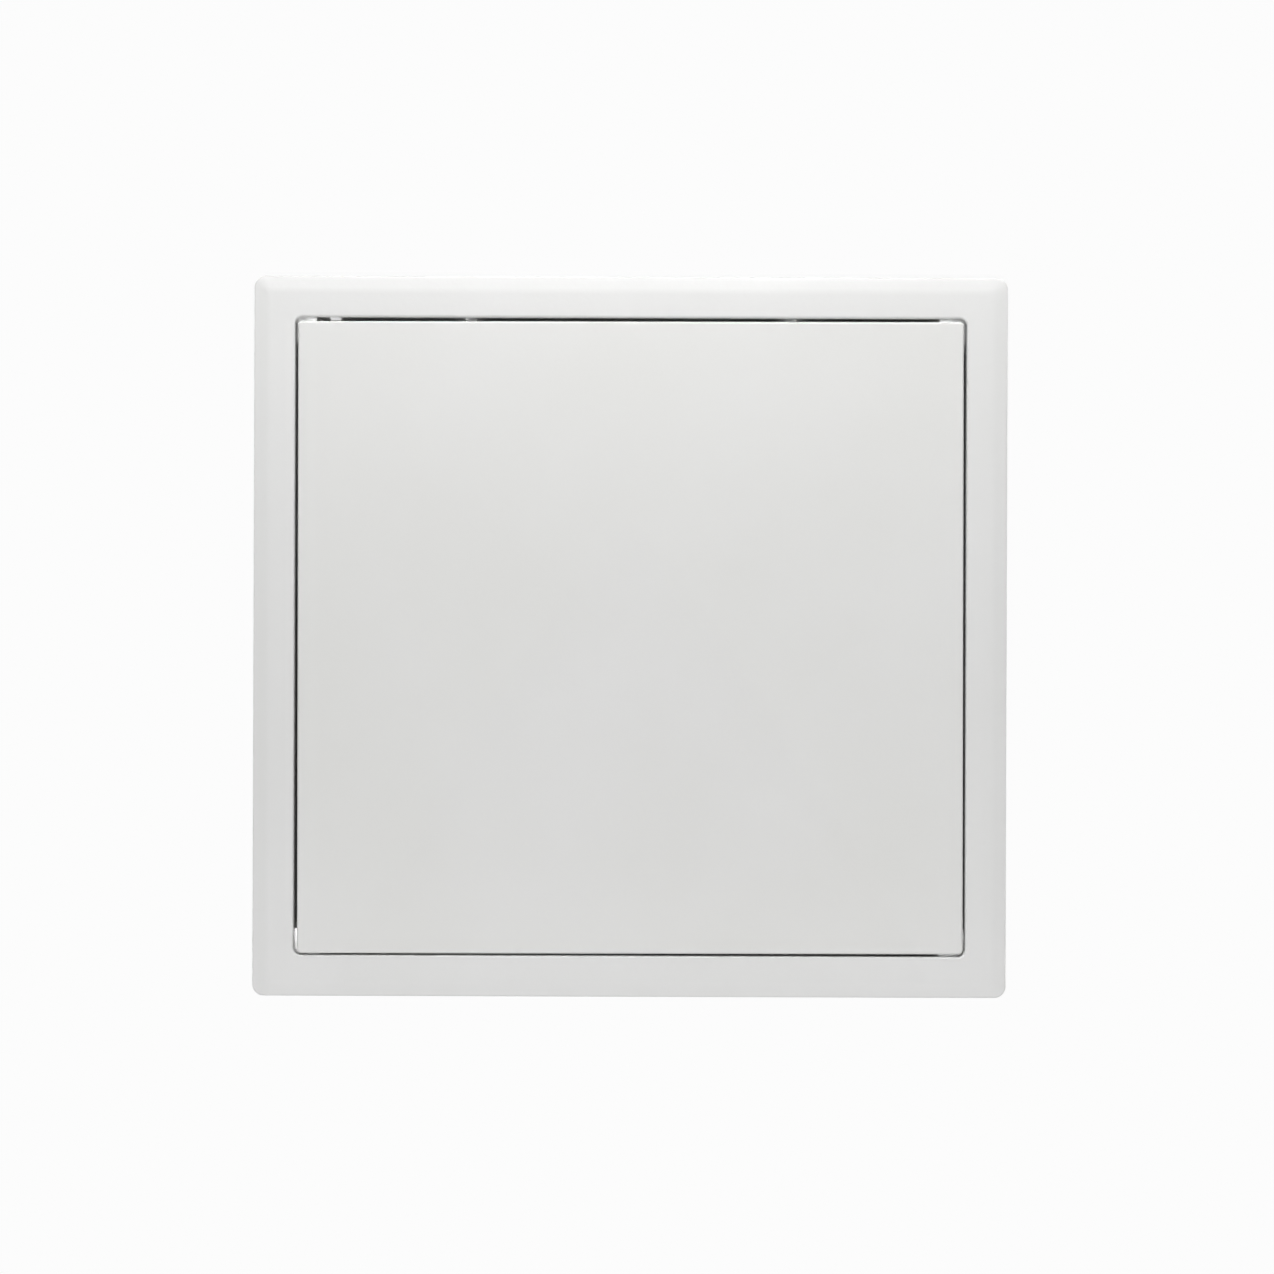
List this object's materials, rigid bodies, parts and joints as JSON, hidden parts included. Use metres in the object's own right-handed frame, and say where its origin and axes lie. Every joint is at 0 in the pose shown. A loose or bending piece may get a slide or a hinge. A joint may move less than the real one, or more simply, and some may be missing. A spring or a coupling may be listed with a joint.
{
  "type": "ceiling access panel",
  "caption": "White steel ceiling access panel: bevelled picture-frame surround with a flush door that hangs on concealed pivot hinges and is held by magnetic touch latches.",
  "frame": {"origin": "centre of the surround on the plane where the flange lies on the ceiling board", "axes": "+X right and +Z up as seen on the face, +Y back into the ceiling void; on a ceiling +Y points up"},
  "size_m": [0.449, 0.056, 0.429],
  "materials": {
    "painted": "satin white powder coat",
    "foam": "closed-cell foam",
    "zinc": "zinc plated",
    "steel": "bright plated",
    "magnet": "nickel plated",
    "rivet": "plain",
    "housing": "moulded",
    "plunger": "moulded"
  },
  "bodies": {
    "frame": {"frame_top_rail": "painted", "frame_bottom_rail": "painted", "frame_left_stile": "painted", "frame_right_stile": "painted", "stop_top": "painted", "stop_bottom": "painted", "stop_left": "painted", "stop_right": "painted", "corner_cleats": "painted", "seal_top": "foam", "seal_bottom": "foam", "seal_left": "foam", "seal_right": "foam", "hinge_bracket_left": "zinc", "hinge_bracket_right": "zinc", "latch_bracket_left": "zinc", "latch_bracket_right": "zinc", "hinge_pin_left": "steel", "hinge_pin_right": "steel", "hinge_clips": "steel", "latch_spring_left": "steel", "latch_spring_right": "steel", "latch_screws": "steel", "hinge_rivets": "rivet", "latch_rivets": "rivet", "latch_housing_left": "housing", "latch_housing_right": "housing", "latch_cap_left": "housing", "latch_cap_right": "housing"},
    "door": {"door_skin": "painted", "door_stiffener_left": "painted", "door_stiffener_right": "painted", "hinge_leaf_left": "zinc", "hinge_leaf_right": "zinc", "strike_plate_left": "steel", "strike_plate_right": "steel", "strike_screws": "steel"},
    "latch_plunger_left": {"latch_plunger_left": "plunger", "latch_magnet_left": "magnet"},
    "latch_plunger_right": {"latch_plunger_right": "plunger", "latch_magnet_right": "magnet"}
  },
  "joints": [
    {"name": "door_hinge", "type": "hinge", "parent": "frame", "child": "door", "pos_m": [0, 0.001, 0.1798], "axis": [-1, 0, 0], "range_deg": [0, 90]},
    {"name": "latch_left", "type": "slide", "parent": "frame", "child": "latch_plunger_left", "axis": [0, 1, 0], "range_m": [0, 0.003], "stiffness_N_per_m": 300, "springref_m": -0.004, "deforming": ["latch_spring_left"]},
    {"name": "latch_right", "type": "slide", "parent": "frame", "child": "latch_plunger_right", "axis": [0, 1, 0], "range_m": [0, 0.003], "stiffness_N_per_m": 300, "springref_m": -0.004, "deforming": ["latch_spring_right"]}
  ]
}
